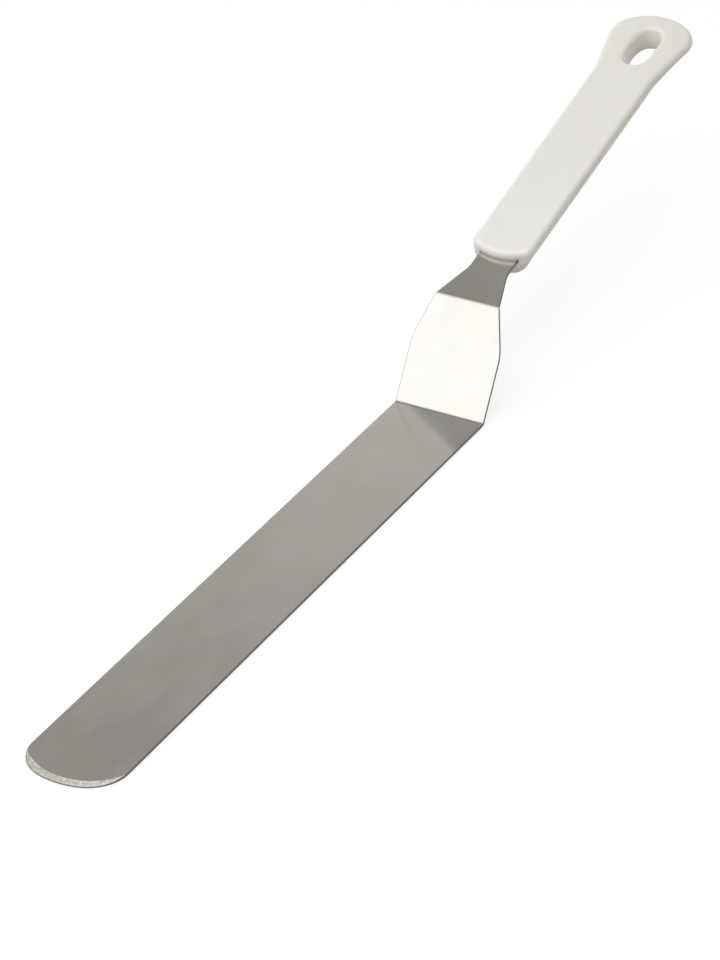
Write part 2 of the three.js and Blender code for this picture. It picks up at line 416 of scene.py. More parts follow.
class NodeSheet:
    """Short calls that add and join the nodes of one tree."""

    def __init__(self, tree: bpy.types.NodeTree) -> None:
        """Keeps the tree that the calls work on."""
        self.tree = tree

    def add(self, kind: str, **settings: object) -> bpy.types.Node:
        """Adds a node.

        Args:
            kind: The node's type.
            settings: Properties to set on it.

        Returns:
            The new node.
        """
        node = self.tree.nodes.new(kind)
        for name, value in settings.items():
            setattr(node, name, value)
        return node

    def feed(self, socket: Socket, source: Feed | Colour) -> None:
        """Links a source to a socket, or sets the socket where the source is a plain value.

        Args:
            socket: The input to fill.
            source: Another node's output, or a value.
        """
        if isinstance(source, Socket):
            self.tree.links.new(source, socket)
        else:
            socket.default_value = source

    def offer(self, names: Iterable[str], kind: str, way: str = "INPUT") -> None:
        """Gives the tree sockets of its own, one for each name."""
        for name in names:
            self.tree.interface.new_socket(name, in_out=way, socket_type=f"NodeSocket{kind}")

    def step(self, kind: str, flow: Socket, inputs: dict[str, Feed], **settings: object) -> Socket:
        """Adds a node that works on a geometry.

        Args:
            kind: The node's type.
            flow: The geometry that it gets.
            inputs: A source for each further input by name.
            settings: Properties to set on it.

        Returns:
            The geometry that it hands on.
        """
        node = self.add(kind, **settings)
        for name, source in {"Geometry": flow, **inputs}.items():
            self.feed(node.inputs[name], source)
        return node.outputs["Geometry"]

    def math(self, operation: str, first: Feed, second: Feed = 0.0) -> Socket:
        """Adds a sum of two sources.

        Args:
            operation: Name of the sum.
            first: First source.
            second: Second source.

        Returns:
            The result's socket.
        """
        node = self.add("ShaderNodeMath", operation=operation)
        self.feed(node.inputs[0], first)
        self.feed(node.inputs[1], second)
        return node.outputs[0]

    def spread(self, value: Feed, low: Feed, high: Feed, first: Feed, last: Feed) -> Socket:
        """Maps a range of a source onto another range, held at both ends.

        Args:
            value: The source.
            low: Source value that gives the first result.
            high: Source value that gives the last result.
            first: Result at the low value.
            last: Result at the high value.

        Returns:
            The result's socket.
        """
        node = self.add("ShaderNodeMapRange", clamp=True)
        for socket, source in zip(node.inputs, (value, low, high, first, last)):
            self.feed(socket, source)
        return node.outputs[0]

    def even(self, noise: Socket, first: float = 0.0, last: float = 1.0) -> Socket:
        """Returns a noise with the range that it mostly fills spread from a first to a last value."""
        return self.spread(noise, NOISE_LOW, NOISE_HIGH, first, last)

    def along(self, way: Socket, axis: Vector) -> Socket:
        """Measures a direction along an axis.

        Args:
            way: The direction.
            axis: The axis, of length 1.

        Returns:
            How far the direction points along the axis, from -1 to 1.
        """
        node = self.add("ShaderNodeVectorMath", operation="DOT_PRODUCT")
        self.feed(node.inputs[0], way)
        node.inputs[1].default_value = axis
        return node.outputs["Value"]

    def noise(self, place: Socket, scale: Triple, detail: float) -> Socket:
        """Adds a noise that is stretched along the axes.

        Args:
            place: Coordinates that the noise reads.
            scale: Waves to the metre along each axis.
            detail: Number of finer waves laid over it.

        Returns:
            The noise from 0 to 1.
        """
        mapping = self.add("ShaderNodeMapping")
        self.feed(mapping.inputs["Vector"], place)
        mapping.inputs["Scale"].default_value = scale
        texture = self.add("ShaderNodeTexNoise")
        self.feed(texture.inputs["Vector"], mapping.outputs[0])
        texture.inputs["Scale"].default_value = 1.0
        texture.inputs["Detail"].default_value = detail
        return texture.outputs[0]

    def tint(self, value: Socket, dark: Colour, pale: Colour) -> Socket:
        """Adds a colour that runs from dark to pale.

        Args:
            value: A source from 0 to 1.
            dark: The colour at 0.
            pale: The colour at 1.

        Returns:
            The colour's socket.
        """
        ramp = self.add("ShaderNodeValToRGB")
        ramp.color_ramp.elements[0].color = (*dark, 1.0)
        ramp.color_ramp.elements[1].color = (*pale, 1.0)
        self.feed(ramp.inputs[0], value)
        return ramp.outputs[0]

    def wash(self, share: Feed, tone: Socket, colour: Colour) -> Socket:
        """Multiplies a tone by a colour.

        Args:
            share: How much of the colour is laid on, from 0 to 1.
            tone: The tone below.
            colour: The colour laid on it.

        Returns:
            The result's socket.
        """
        node = self.add("ShaderNodeMix", data_type="RGBA", blend_type="MULTIPLY")
        factor, first, second = [socket for socket in node.inputs if socket.enabled]
        self.feed(factor, share)
        self.feed(first, tone)
        second.default_value = (*colour, 1.0)
        return next(socket for socket in node.outputs if socket.enabled)

    def bump(
        self,
        height: Socket,
        strength: float = 1.0,
        depth: float = 1.0,
        normal: Socket | None = None,
    ) -> Socket:
        """Adds a relief.

        Args:
            height: The relief's height.
            strength: Share of the relief that shows.
            depth: Metres that a height of 1 stands for.
            normal: Normal of a relief that this one lies on, if there is one.

        Returns:
            The normal's socket.
        """
        node = self.add("ShaderNodeBump")
        node.inputs["Strength"].default_value = strength
        node.inputs["Distance"].default_value = depth
        self.feed(node.inputs["Height"], height)
        if normal:
            self.feed(node.inputs["Normal"], normal)
        return node.outputs[0]


def new_material(
    name: str, metallic: float = 0.0
) -> tuple[bpy.types.Material, NodeSheet, bpy.types.Node]:
    """Starts a material on a principled surface.

    Args:
        name: The finish's name.
        metallic: 1 for bare metal, 0 for anything else.

    Returns:
        The material, its node sheet and its surface node.
    """
    material = bpy.data.materials.new(name)
    material.use_nodes = True
    surface = material.node_tree.nodes["Principled BSDF"]
    surface.inputs["Metallic"].default_value = metallic
    return material, NodeSheet(material.node_tree), surface


def join_finish(
    sheet: NodeSheet, surface: bpy.types.Node, tone: Socket, dullness: Socket, relief: Socket
) -> None:
    """Joins a finish to its surface.

    Args:
        sheet: The material's nodes.
        surface: Its surface node.
        tone: The colour.
        dullness: The roughness.
        relief: The normal.
    """
    for name, source in (("Base Color", tone), ("Roughness", dullness), ("Normal", relief)):
        sheet.feed(surface.inputs[name], source)


# Finishes


@dataclass(frozen=True)
class SatinSteel:
    """Rolled stainless sheet, satin polished, with faint clouds, painted shade along the heel's bend
    and a slight pull beside the heel.
    """

    dark: Colour = (0.655, 0.629, 0.583)
    pale: Colour = (0.700, 0.673, 0.625)
    blush: Colour = (1.0, 0.972, 0.945)
    smooth: float = 0.14
    dull: float = 0.20
    cloud_scale: Triple = (24.0, 60.0, 1.0)
    cloud_detail: float = 3.0
    blush_scale: Triple = (40.0, 55.0, 1.0)
    blush_detail: float = 1.0
    blush_low: float = 0.42
    blush_high: float = 0.66
    grain_scale: Triple = (110.0, 2600.0, 1.0)
    grain_detail: float = 2.0
    grain_share: float = 0.12
    grain_strength: float = 0.04
    grain_depth: float = 0.00002
    # Painted shade: a brownish dark line washed over the sheet within this reach of the heel's bend.
    crease_shade: Colour = (0.42, 0.37, 0.35)
    crease_shade_reach: float = 0.6 * MM
    pull_side: float = 14.0 * MM
    pull_slant: float = 0.74
    pull_slope: float = 0.24
    pull_round: float = 7.0 * MM
    pull_end: float = -0.5 * MM

    def _pull(self, sheet: NodeSheet, place: bpy.types.Node) -> Socket:
        """Adds the shallow rise that the bend pulls into the blade, widest on the right.

        Args:
            sheet: The material's nodes.
            place: The parts of the place on the strip's map.

        Returns:
            The normal of the pulled sheet.
        """
        across = sheet.math("SUBTRACT", self.pull_side, place.outputs["Y"])
        reach = sheet.math("ADD", sheet.math("MULTIPLY", across, self.pull_slant), place.outputs["X"])
        within = sheet.math("MAXIMUM", reach, 0.0)
        squared = sheet.math("MULTIPLY", within, within)
        run = sheet.math("SQRT", sheet.math("ADD", squared, self.pull_round ** 2))
        rise = sheet.math("MULTIPLY", sheet.math("SUBTRACT", run, self.pull_round), self.pull_slope)
        on_blade = sheet.math("LESS_THAN", place.outputs["X"], self.pull_end)
        return sheet.bump(sheet.math("MULTIPLY", rise, on_blade))

    def make(self) -> bpy.types.Material:
        """Makes the finish.

        Returns:
            A material that follows the strip's own map.
        """
        material, sheet, surface = new_material("satin_steel", metallic=1.0)
        strip = sheet.add("ShaderNodeUVMap", uv_map=STRIP_MAP).outputs[0]
        cloud = sheet.noise(strip, self.cloud_scale, self.cloud_detail)
        warm = sheet.noise(strip, self.blush_scale, self.blush_detail)
        grain = sheet.noise(strip, self.grain_scale, self.grain_detail)
        grain_part = sheet.even(grain, -self.grain_share, self.grain_share)
        mixed = sheet.math("ADD", sheet.even(cloud), grain_part)
        tone = sheet.tint(mixed, self.dark, self.pale)
        warm_part = sheet.spread(warm, self.blush_low, self.blush_high, 0.0, 1.0)
        place = sheet.add("ShaderNodeSeparateXYZ")
        sheet.feed(place.inputs[0], strip)
        # Painted shade along the heel's bend, darkest on the bend and gone at the reach.
        from_heel = sheet.math("ABSOLUTE", place.outputs["X"])
        crease_shade_part = sheet.spread(from_heel, 0.0, self.crease_shade_reach, 1.0, 0.0)
        tone = sheet.wash(crease_shade_part, sheet.wash(warm_part, tone, self.blush), self.crease_shade)
        dullness = sheet.spread(mixed, 0.0, 1.0, self.smooth, self.dull)
        pulled = self._pull(sheet, place)
        relief = sheet.bump(grain, self.grain_strength, self.grain_depth, pulled)
        join_finish(sheet, surface, tone, dullness, relief)
        return material


@dataclass(frozen=True)
class GroundSteel:
    """The tip's ground edge: bright dull steel, mottled by the wheel, with a painted highlight along
    its inner line.
    """

    dark: Colour = (0.48, 0.455, 0.40)
    pale: Colour = (0.82, 0.79, 0.69)
    smooth: float = 0.42
    dull: float = 0.62
    # Painted highlight: the tone is lifted towards pale along the ground edge's inner line.
    highlight_from: float = 0.80
    inner_highlight: float = 0.55
    mark_scale: Triple = (900.0, 1.6, 1.0)
    mark_detail: float = 3.0
    mark_strength: float = 0.55
    mark_depth: float = 0.00025
    name: str = "ground_steel"

    def make(self) -> bpy.types.Material:
        """Makes the finish.

        Returns:
            A material that follows the strip's edge.
        """
        material, sheet, surface = new_material(self.name, metallic=1.0)
        run = sheet.add("ShaderNodeAttribute", attribute_name=EDGE_RUN).outputs["Fac"]
        inward = sheet.add("ShaderNodeAttribute", attribute_name=EDGE_PART).outputs["Fac"]
        place = sheet.add("ShaderNodeCombineXYZ")
        sheet.feed(place.inputs[0], run)
        sheet.feed(place.inputs[1], inward)
        marks = sheet.noise(place.outputs[0], self.mark_scale, self.mark_detail)
        part = sheet.even(marks)
        # Painted highlight along the inner line of the ground edge.
        lift = sheet.spread(inward, self.highlight_from, 1.0, 0.0, self.inner_highlight)
        tone = sheet.tint(sheet.math("ADD", part, lift), self.dark, self.pale)
        dullness = sheet.spread(part, 0.0, 1.0, self.smooth, self.dull)
        relief = sheet.bump(marks, self.mark_strength, self.mark_depth)
        join_finish(sheet, surface, tone, dullness, relief)
        return material


@dataclass(frozen=True)
class CutSteel(GroundSteel):
    """The strip's cut edges: marked in the same way, but painted near-black as painted shade along the
    edges, with fine shear marks across them.
    """

    # Painted shade: the near-black tone darkens the strip's edges into dark lines.
    dark: Colour = (0.13, 0.122, 0.115)
    pale: Colour = (0.24, 0.228, 0.215)
    smooth: float = 0.45
    dull: float = 0.6
    inner_highlight: float = 0.0
    mark_scale: Triple = (2400.0, 1.0, 1.0)
    mark_detail: float = 2.0
    mark_strength: float = 0.25
    mark_depth: float = 0.00008
    name: str = "shaded_cut_steel"


@dataclass(frozen=True)
class WhiteMoulding:
    """Warm white moulded plastic: a soft gloss, a fine mould grain and painted shade that darkens it
    towards the butt.
    """

    dark: Colour = (0.770, 0.735, 0.668)
    pale: Colour = (0.822, 0.790, 0.729)
    drift_share: float = 0.3
    # Painted shade: the tone darkens steadily between these two places, towards the butt, where less
    # light falls.
    shade_from_x: float = 85 * MM
    shade_full_x: float = 205 * MM
    smooth: float = 0.20
    dull: float = 0.28
    drift_scale: Triple = (22.0, 40.0, 40.0)
    drift_detail: float = 2.0
    grain_scale: Triple = (1400.0, 1400.0, 1400.0)
    grain_detail: float = 2.0
    grain_strength: float = 0.02
    grain_depth: float = 0.00003
    ior: float = 1.49
    glow: float = 0.5
    glow_reach: Triple = (0.0025, 0.0021, 0.0017)

    def make(self) -> bpy.types.Material:
        """Makes the finish.

        Returns:
            A material on the piece's own coordinates.
        """
        material, sheet, surface = new_material("white_moulding")
        place = sheet.add("ShaderNodeTexCoord").outputs["Object"]
        drift = sheet.noise(place, self.drift_scale, self.drift_detail)
        grain = sheet.noise(place, self.grain_scale, self.grain_detail)
        axes = sheet.add("ShaderNodeSeparateXYZ")
        sheet.feed(axes.inputs[0], place)
        # Painted shade towards the butt, with a random drift in tone laid over it.
        steady = 1.0 - self.drift_share
        along = sheet.spread(axes.outputs["X"], self.shade_from_x, self.shade_full_x, steady, 0.0)
        part = sheet.math("ADD", along, sheet.even(drift, 0.0, self.drift_share))
        tone = sheet.tint(part, self.dark, self.pale)
        dullness = sheet.even(grain, self.smooth, self.dull)
        relief = sheet.bump(grain, self.grain_strength, self.grain_depth)
        join_finish(sheet, surface, tone, dullness, relief)
        surface.inputs["IOR"].default_value = self.ior
        surface.inputs["Subsurface Weight"].default_value = self.glow
        surface.inputs["Subsurface Radius"].default_value = self.glow_reach
        surface.inputs["Subsurface Scale"].default_value = 1.0
        return material


@dataclass(frozen=True)
class PaleFloor:
    """A pale studio floor that looks white and takes only a faint shadow."""

    paint: Colour = (0.28, 0.28, 0.28)
    dullness: float = 0.9
    glow: float = 0.75

    def make(self) -> bpy.types.Material:
        """Makes the floor's finish.

        Returns:
            A material that glows only where it is looked at.
        """
        material, sheet, surface = new_material("pale_floor")
        surface.inputs["Base Color"].default_value = (*self.paint, 1.0)
        surface.inputs["Roughness"].default_value = self.dullness
        surface.inputs["Specular IOR Level"].default_value = 0.0
        surface.inputs["Emission Color"].default_value = (1.0, 1.0, 1.0, 1.0)
        lift = sheet.math("MULTIPLY", seen_rays(sheet), self.glow)
        sheet.feed(surface.inputs["Emission Strength"], lift)
        return material


def seen_rays(sheet: NodeSheet) -> Socket:
    """Tells the rays that show a surface from those that carry its light.

    Args:
        sheet: The material's nodes.

    Returns:
        1 for rays from the camera, from gloss and through glass, and 0 for all others.
    """
    path = sheet.add("ShaderNodeLightPath")
    straight = path.outputs["Is Camera Ray"]
    mirrored = path.outputs["Is Glossy Ray"]
    through = path.outputs["Is Transmission Ray"]
    return sheet.math("MAXIMUM", sheet.math("MAXIMUM", straight, mirrored), through)


# Folding of the strip


@dataclass(frozen=True)
class Fold:
    """One bend of the strip: where it starts on the flat blank, its signed angle and radius."""

    start: float
    angle: float
    radius: float

    @property
    def arc(self) -> float:
        """Returns the length of blank that the bend takes up."""
        return self.angle * self.radius

    @property
    def end(self) -> float:
        """Returns where the bend ends on the flat blank."""
        return self.start + self.arc


class FoldTree:
    """Geometry nodes that fold a flat blank along lines across it."""

    BENDS = ("Shoulder", "Heel")
    SIZES = ("Start", "Angle", "Radius")
    MARKED_FINISHES = (("Cut Finish", CUT_MARK), ("Ground Finish", GROUND_MARK))

    def __init__(self) -> None:
        """Builds the tree for one fold and the tree that folds the whole strip."""
        self.fold_line = self._fold_line()
        self.strip = self._strip()

    def _fold_line(self) -> bpy.types.NodeTree:
        """Builds the group that rolls all that lies past a line round an axis across the strip.

        Returns:
            The group, with the fold's start, angle and radius as inputs.
        """
        tree = bpy.data.node_groups.new("fold_line", "GeometryNodeTree")
        sheet = NodeSheet(tree)
        sheet.offer(("Geometry",), "Geometry")
        sheet.offer([f"Fold {size}" for size in self.SIZES], "Float")
        sheet.offer(("Geometry",), "Geometry", "OUTPUT")
        given = sheet.add("NodeGroupInput").outputs
        start, angle, radius = given["Fold Start"], given["Fold Angle"], given["Fold Radius"]
        place = sheet.add("ShaderNodeSeparateXYZ")
        sheet.feed(place.inputs[0], sheet.add("GeometryNodeInputPosition").outputs[0])
        past = sheet.math("SUBTRACT", place.outputs["X"], start)
        turn = sheet.spread(past, 0.0, sheet.math("MULTIPLY", radius, angle), 0.0, angle)
        rest = sheet.math("SUBTRACT", past, sheet.math("MULTIPLY", radius, turn))
        arm = sheet.math("SUBTRACT", radius, place.outputs["Z"])
        sine = sheet.math("SINE", turn)
        cosine = sheet.math("COSINE", turn)
        swung = sheet.math("MULTIPLY", arm, sine)
        along = sheet.math("ADD", swung, sheet.math("MULTIPLY", rest, cosine))
        drop = sheet.math("SUBTRACT", radius, sheet.math("MULTIPLY", arm, cosine))
        height = sheet.math("ADD", drop, sheet.math("MULTIPLY", rest, sine))
        folded = sheet.add("ShaderNodeCombineXYZ")
        sheet.feed(folded.inputs["X"], sheet.math("ADD", start, along))
        sheet.feed(folded.inputs["Y"], place.outputs["Y"])
        sheet.feed(folded.inputs["Z"], height)
        moved = {"Position": folded.outputs[0]}
        flow = sheet.step("GeometryNodeSetPosition", given["Geometry"], moved)
        sheet.feed(sheet.add("NodeGroupOutput").inputs["Geometry"], flow)
        return tree

    def _strip(self) -> bpy.types.NodeTree:
        """Builds the tree that folds the strip from its far end and sets it in place.

        Returns:
            The tree, with every size and finish as named inputs.
        """
        tree = bpy.data.node_groups.new("fold_strip", "GeometryNodeTree")
        sheet = NodeSheet(tree)
        sheet.offer(("Geometry",), "Geometry")
        sheet.offer([f"{bend} {size}" for bend in self.BENDS for size in self.SIZES], "Float")
        sheet.offer(("Heel Place",), "Vector")
        sheet.offer(("Sheet Finish", *(finish for finish, _ in self.MARKED_FINISHES)), "Material")
        sheet.offer(("Geometry",), "Geometry", "OUTPUT")
        given = sheet.add("NodeGroupInput").outputs
        flow = given["Geometry"]
        for bend in self.BENDS:
            sizes = {f"Fold {size}": given[f"{bend} {size}"] for size in self.SIZES}
            flow = sheet.step("GeometryNodeGroup", flow, sizes, node_tree=self.fold_line)
        flow = sheet.step("GeometryNodeTransform", flow, {"Translation": given["Heel Place"]})
        flow = sheet.step("GeometryNodeRealizeInstances", flow, {})
        flow = sheet.step("GeometryNodeSetMaterial", flow, {"Material": given["Sheet Finish"]})
        for finish, mark in self.MARKED_FINISHES:
            marked = sheet.add("GeometryNodeInputNamedAttribute", data_type="BOOLEAN")
            marked.inputs["Name"].default_value = mark
            inputs = {"Selection": marked.outputs["Attribute"], "Material": given[finish]}
            flow = sheet.step("GeometryNodeSetMaterial", flow, inputs)
        sheet.feed(sheet.add("NodeGroupOutput").inputs["Geometry"], flow)
        return tree

    def apply(self, piece: bpy.types.Object, inputs: dict[str, object]) -> None:
        """Runs the strip's tree on a blank and keeps the result as its plain mesh.

        Args:
            piece: The flat blank.
            inputs: A value for each named input of the tree.
        """
        modifier = piece.modifiers.new("fold", "NODES")
        modifier.node_group = self.strip
        for item in self.strip.interface.items_tree:
            if item.in_out == "INPUT" and item.name in inputs:
                modifier[item.identifier] = inputs[item.name]
        graph = bpy.context.evaluated_depsgraph_get()
        folded = bpy.data.meshes.new_from_object(
            piece.evaluated_get(graph), preserve_all_data_layers=True, depsgraph=graph
        )
        piece.modifiers.remove(modifier)
        folded.name = piece.data.name
        piece.data = folded


# Blade


@dataclass
class Blade:
    """The steel strip: flat blade with a ground round tip, crank, neck and barbed tang."""

    length: float = 250 * MM
    width: float = 34 * MM
    sheet: float = 1 * MM
    tip_radius: float = 25.4 * MM
    tip_corner: float = 13.8 * MM
    ground_width: float = 2.5 * MM
    ground_drop: float = 0.55 * MM
    ground_crown: float = 0.35
    ground_rows: int = 6
    ground_full: float = math.radians(25)
    ground_left_end: float = math.radians(71)
    ground_right_end: float = math.radians(84)
    burr_radius: float = 0.2 * MM
    crank: float = 39.8 * MM
    crank_angle: float = math.radians(59.2)
    handle_angle: float = math.radians(14.3)
    bend_radius: float = 1 * MM
    heel_reach: float = 0.42 * MM
    taper_lead: float = 16 * MM
    taper_low_radius: float = 22 * MM
    taper_high_radius: float = 13 * MM
    neck: float = 23.4 * MM
    neck_parallel: float = 6.8 * MM
    tang_width: float = 14.6 * MM
    tang: float = 72 * MM
    tang_end_cut: float = 1.6 * MM
    barb_count: int = 4
    barb_pitch: float = 7 * MM
    barb_depth: float = 1.3 * MM
    barb_inset: float = 9 * MM
    margin: float = 0.3 * MM
    row_step: float = 12 * MM
    arc_step: float = math.radians(2.5)
    fold_rows: int = 10
    curve_rows: int = 8

    def __post_init__(self) -> None:
        """Lays out the tip and the bends, with the heel and the shoulder where the frame has them."""
        lowest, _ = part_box("blade")
        self.heel_x = lowest.x + self.length
        self.end = RoundedEnd(
            -self.length, Facing.TIPWARD, self.width / 2, self.tip_radius, self.tip_corner
        )
        turn = self.crank_angle - self.handle_angle
        outer = self.bend_radius + self.sheet
        shoulder_reach = outer * math.tan(turn / 2)
        heel_radius = self.heel_reach / math.tan(self.crank_angle / 2)
        self.heel = Fold(-self.heel_reach, self.crank_angle, heel_radius)
        self.shoulder_mark = self.heel.end + self.crank - self.heel_reach
        self.shoulder = Fold(self.shoulder_mark - shoulder_reach, -turn, -outer)
        self.shoulder_loss = 2 * shoulder_reach - self.shoulder.arc

    @property
    def shoulder_point(self) -> Vector:
        """The sharp corner of the strip's upper line at the shoulder.

        Returns:
            Its place in the frame.
        """
        run = self.crank * math.cos(self.crank_angle)
        rise = self.crank * math.sin(self.crank_angle)
        return Vector((self.heel_x + run, 0.0, self.sheet + rise))

    def developed(self, distance: float) -> float:
        """Returns a place on the flat blank by its distance past the shoulder's sharp corner."""
        return self.shoulder_mark + distance - (self.shoulder_loss if distance > 0 else 0.0)

    def edge(self) -> LongEdge:
        """Lays out the blank's long edge.

        Returns:
            The edge from the tip to the tang's end, without its barbs.
        """
        half, tang_half = self.width / 2, self.tang_width / 2
        neck_start = self.developed(self.neck - self.neck_parallel)
        return LongEdge((
            EdgeCorner(self.end.corner_x, half),
            EdgeCorner(self.developed(-self.taper_lead), half, self.taper_low_radius),
            EdgeCorner(neck_start, tang_half, self.taper_high_radius),
            EdgeCorner(self.developed(self.neck + self.tang), tang_half),
        ))

    def half_outline(self) -> list[RimPoint]:
        """Lists the blank's left side from the tip's apex to the corner of the tang's end.

        Returns:
            Points with rows close together at the folds and round each curve.
        """
        edge = self.edge()
        stops = [self.end.corner_x]
        for fold in (self.heel, self.shoulder):
            rows = self.fold_rows
            stops += [fold.start + fold.arc * row / rows for row in range(rows + 1)]
            stops += [fold.start - self.margin, fold.end + self.margin]
        for index in range(1, len(edge.corners) - 1):
            first_x, last_x, _, _ = edge.bend(index)
            rows = self.curve_rows
            stops += [first_x + (last_x - first_x) * row / rows for row in range(rows + 1)]
        barb_start = self.developed(self.neck + self.barb_inset)
        stops.append(barb_start)
        stops = spaced(sorted(set(stops)), self.row_step)
        points = self.end.rim(self.arc_step)
        points += [edge.at(x) for x in stops[1:]]
        points += self._barbs(barb_start, edge)
        return points

    def _barbs(self, start: float, edge: LongEdge) -> list[RimPoint]:
        """Lists the tang's notched edge.

        Args:
            start: Where the first barb starts on the blank.
            edge: The plain edge.

        Returns:
            Points from the first notch to the tang's cut corner.
        """
        half = self.tang_width / 2
        points = []
        for barb in range(self.barb_count):
            root = start + barb * self.barb_pitch
            if barb:
                points.append(RimPoint(root, half, 0.0, 1.0))
            face = root + self.barb_pitch / 2
            points.append(RimPoint(face - self.margin, half - self.barb_depth, 0.0, 1.0))
            points.append(RimPoint(face, half, 0.0, 1.0))
        end = edge.corners[-1].x
        points.append(RimPoint(end - self.tang_end_cut, half, 0.0, 1.0))
        points.append(RimPoint(end, half - self.tang_end_cut, 1.0, 0.0))
        return points

    def ground_share(self, point: RimPoint) -> float:
        """Says how fully the edge is ground; the grinding runs out further on the right.

        Args:
            point: A point of the blank's outline.

        Returns:
            A share from 0 to 1.
        """
        if point.x > self.end.corner_x:
            return 0.0
        turn = math.atan2(abs(point.out_y), -point.out_x)
        last = self.ground_left_end if point.y > 0 else self.ground_right_end
        past = max(0.0, (turn - self.ground_full) / (last - self.ground_full))
        return max(0.0, 1 - past ** 2)

    def blank(self) -> bpy.types.Object:
        """Builds the flat blank with its upper face at the height 0.

        Returns:
            The blank with softened edges, its ground tip, its map and its marks.
        """
        half = self.half_outline()
        shell = LoopMesh()
        rings = self._edge_rings(shell, closed_loop(half))
        for rim in (rings[0], rings[-1]):
            shell.mesh.faces.new((rim[0], rim[1], rim[-1]))
            for here in range(1, len(half) - 1):
                shell.mesh.faces.new((rim[here], rim[here + 1], rim[-here - 1], rim[-here]))
        strip = shell.mesh.loops.layers.uv.new(STRIP_MAP)
        for face in shell.mesh.faces:
            for loop in face.loops:
                loop[strip].uv = loop.vert.co.to_2d()
        return shell.finish("blade_strip")

    def _edge_rings(self, shell: LoopMesh, outline: Sequence[RimPoint]) -> list[list[BMVert]]:
        """Adds the edge of the blank, soft below, upright and ground above, with its marks.

        Args:
            shell: The blank's mesh.
            outline: The blank in plan.

        Returns:
            The edge's rings, from the underside to the upper face.
        """
        soft = self.burr_radius
        corner = soft * (1 - math.cos(math.pi / 4))
        shares = np.array([self.ground_share(point) for point in outline])
        drops = self.ground_drop * shares
        widths = np.maximum(self.ground_width * shares, 2 * soft)
        flush = np.zeros(len(outline))
        under = flush - self.sheet
        profile = [
            (flush + soft + self.margin, under, 0.0),
            (flush + soft, under, 0.0),
            (flush + corner, under + corner, 0.0),
            (flush, under + soft, 0.0),
            (flush, -drops - soft, 0.0),
            (flush + corner, -drops - corner, 0.0),
        ]
        cut_bands = range(1, len(profile))
        for part in np.linspace(0.0, 1.0, self.ground_rows):
            fall = (1 - self.ground_crown) * (1 - part) + self.ground_crown * (1 - part) ** 2
            profile.append((soft + (widths - soft) * part, -drops * fall, part))
        ground_bands = range(cut_bands.stop, len(profile) - 1)
        profile.append((widths + self.margin, flush, 1.0))

        run = shell.mesh.verts.layers.float.new(EDGE_RUN)
        inward = shell.mesh.verts.layers.float.new(EDGE_PART)
        steps = np.linalg.norm(np.diff(chain_of(outline), axis=0), axis=1)
        lengths = [0.0, *np.cumsum(steps)]
        rings = []
        for insets, heights, part in profile:
            rings.append(shell.ring(outline, insets, heights))
            for vertex, length in zip(rings[-1], lengths):
                vertex[run] = length
                vertex[inward] = part

        ground = shell.mesh.faces.layers.bool.new(GROUND_MARK)
        cut = shell.mesh.faces.layers.bool.new(CUT_MARK)
        is_ground = np.minimum(shares, np.roll(shares, -1)) > 0
        for level, faces in enumerate(shell.bands(rings)):
            for face, grinding in zip(faces, is_ground):
                face[cut] = level in cut_bands
                face[ground] = bool(grinding) and level in ground_bands
        return rings

    def build(self) -> bpy.types.Object:
        """Makes the strip from its blank and hands it to the frame.

        Returns:
            The strip, in place.
        """
        piece = self.blank()
        self.dress(piece)
        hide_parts("blade")
        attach(piece, BODY)
        return piece

    def dress(self, piece: bpy.types.Object) -> None:
        """Folds the blank and gives its faces their finishes.

        Args:
            piece: The blank, which becomes the strip.
        """
        inputs = {
            "Heel Place": (self.heel_x, 0.0, self.sheet),
            "Sheet Finish": SatinSteel().make(),
            "Cut Finish": CutSteel().make(),
            "Ground Finish": GroundSteel().make(),
        }
        for bend, fold in (("Heel", self.heel), ("Shoulder", self.shoulder)):
            inputs[f"{bend} Start"] = fold.start
            inputs[f"{bend} Angle"] = fold.angle
            inputs[f"{bend} Radius"] = fold.radius
        FoldTree().apply(piece, inputs)


# Handle


